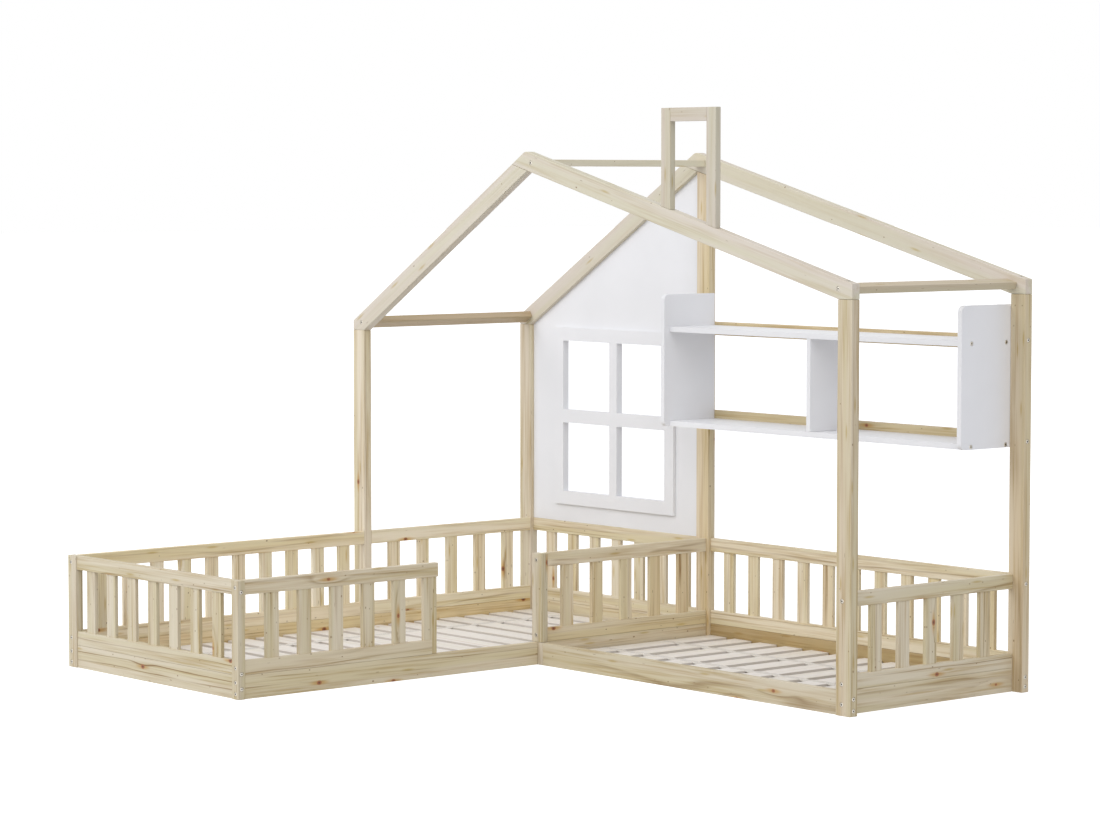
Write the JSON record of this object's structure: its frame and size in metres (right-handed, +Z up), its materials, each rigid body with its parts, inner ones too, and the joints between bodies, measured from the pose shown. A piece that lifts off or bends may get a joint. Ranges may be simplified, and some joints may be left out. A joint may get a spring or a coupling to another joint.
{
  "type": "children's corner bed",
  "caption": "L-shaped children's floor bed in pine: a large and a small bed with picket fences, a house frame with chimney, a white gable wall with window, and a white wall shelf.",
  "frame": {"origin": "centre of the overall box at floor level", "axes": "+Z up; +X along the house front from the large bed to the small bed; +Y towards the back wall, so the foot of the large bed is at -Y"},
  "size_m": [2.478, 2.0086, 1.8415],
  "materials": {
    "pine": "planed and sanded pine, clear matt, with knots",
    "slat_wood": "pale planed slats, unfinished",
    "white_lacquer": "satin white lacquered panel",
    "zinc_steel": "zinc plated steel"
  },
  "bodies": {
    "root": {"board_back": "pine", "board_end": "pine", "board_foot": "pine", "board_front": "pine", "board_head": "pine", "board_left_back": "pine", "board_left_front": "pine", "board_middle": "pine", "board_side": "pine", "bolt_back_left_eave": "zinc_steel", "bolt_back_ridge": "zinc_steel", "bolt_back_right_eave": "zinc_steel", "bolt_front_left_eave": "zinc_steel", "bolt_front_ridge": "zinc_steel", "bolt_front_right_eave": "zinc_steel", "chimney_top_rail": "pine", "chimney_upright_left": "pine", "chimney_upright_right": "pine", "corner_block_inner": "pine", "corner_post_foot_left": "pine", "corner_post_foot_right": "pine", "corner_post_inner": "pine", "fence_back": "pine", "fence_end": "pine", "fence_foot": "pine", "fence_gate": "pine", "fence_head": "pine", "fence_left_back": "pine", "fence_left_front": "pine", "fence_middle": "pine", "gable_wall": "white_lacquer", "ledger_large_left": "pine", "ledger_large_right": "pine", "ledger_small_back": "pine", "ledger_small_front": "pine", "post_back_left": "pine", "post_back_middle": "pine", "post_back_right": "pine", "post_front_left": "pine", "post_front_right": "pine", "purlin_left_eave": "pine", "purlin_ridge": "pine", "purlin_right_eave": "pine", "rafter_back_left": "pine", "rafter_back_right": "pine", "rafter_front_left": "pine", "rafter_front_right": "pine", "shelf_back_rail_lower": "pine", "shelf_back_rail_upper": "pine", "shelf_board_lower": "white_lacquer", "shelf_board_upper": "white_lacquer", "shelf_divider": "white_lacquer", "shelf_side_left": "white_lacquer", "shelf_side_right": "white_lacquer", "slats_large_bed": "slat_wood", "slats_small_bed": "slat_wood", "window_frame": "white_lacquer"}
  },
  "joints": []
}
